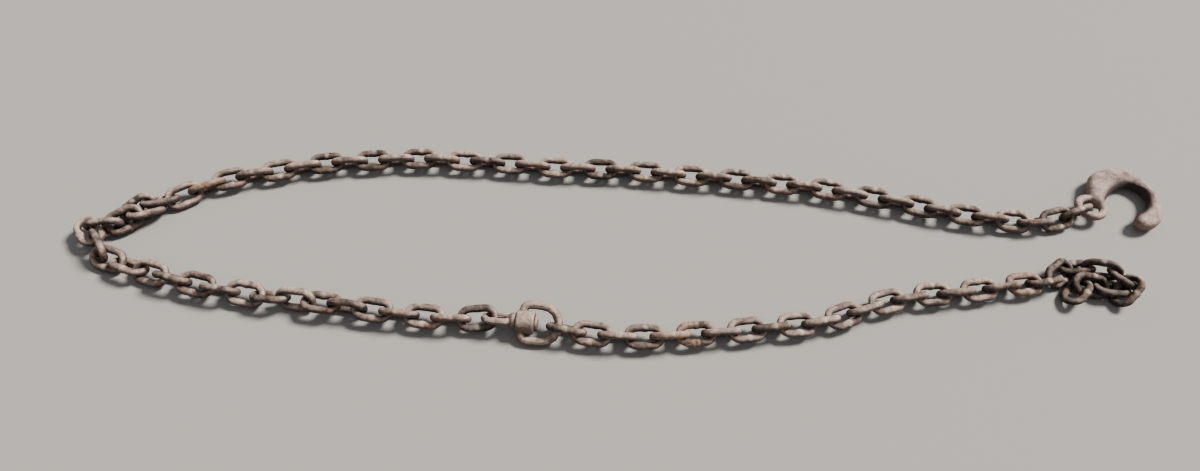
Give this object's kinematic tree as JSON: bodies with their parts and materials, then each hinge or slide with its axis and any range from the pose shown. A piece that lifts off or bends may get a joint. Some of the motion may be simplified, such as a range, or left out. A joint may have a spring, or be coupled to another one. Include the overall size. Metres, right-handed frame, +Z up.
{
  "type": "heap of steel chain",
  "caption": "Old rusty welded chain lying in a long flat loop, with a forged slip hook at its end, a swivel in its run and its free end dropped in a small heap.",
  "frame": {"origin": "on the floor, under the middle of the outline of the lying chain", "axes": "+X along the loop from the bend to the hook end, +Y from the swivel's side to the hook's side, +Z up"},
  "size_m": [2.106, 0.5272, 0.0558],
  "materials": {
    "chain_steel": "old rust with dusty, rubbed crowns",
    "hook_steel": "smooth brown rust on a forging",
    "swivel_steel": "rough rust on a forging"
  },
  "bodies": {
    "root": {"bend_link_01": "chain_steel", "bend_link_02": "chain_steel", "bend_link_03": "chain_steel", "bend_link_04": "chain_steel", "bend_link_05": "chain_steel", "free_link_01_02": "chain_steel", "free_link_03_04": "chain_steel", "free_link_05_06": "chain_steel", "free_link_07_08": "chain_steel", "free_link_09_10": "chain_steel", "free_link_11_12": "chain_steel", "free_link_13_14": "chain_steel", "free_link_15_16": "chain_steel", "free_link_17_18": "chain_steel", "free_link_19_20": "chain_steel", "free_link_21": "chain_steel", "heap_link_01": "chain_steel", "heap_link_02": "chain_steel", "heap_link_03": "chain_steel", "heap_link_04": "chain_steel", "heap_link_05": "chain_steel", "heap_link_06": "chain_steel", "heap_link_07": "chain_steel", "heap_link_08": "chain_steel", "lower_link_01_02_03": "chain_steel", "lower_link_04_05": "chain_steel", "lower_link_06_07": "chain_steel", "lower_link_08_09": "chain_steel", "lower_link_10_11": "chain_steel", "lower_link_12_13": "chain_steel", "lower_link_14": "chain_steel", "lower_link_15": "chain_steel", "lower_link_16": "chain_steel", "slip_hook": "hook_steel", "swivel_bow": "swivel_steel", "swivel_eye": "swivel_steel", "top_link_01": "chain_steel", "top_link_02": "chain_steel", "top_link_03": "chain_steel", "top_link_04": "chain_steel", "top_link_05_06_07": "chain_steel", "top_link_08_09": "chain_steel", "top_link_10_11": "chain_steel", "top_link_12_13": "chain_steel", "top_link_14_15": "chain_steel", "top_link_16_17": "chain_steel", "top_link_18_19": "chain_steel", "top_link_20_21": "chain_steel", "top_link_22_23": "chain_steel", "top_link_24_25": "chain_steel", "top_link_26_27": "chain_steel", "top_link_28_29": "chain_steel", "top_link_30_31": "chain_steel", "top_link_32_33": "chain_steel", "top_link_34_35": "chain_steel", "top_link_36_37": "chain_steel", "top_link_38_39": "chain_steel", "top_link_40": "chain_steel", "top_link_41": "chain_steel", "top_link_42": "chain_steel"}
  },
  "joints": []
}
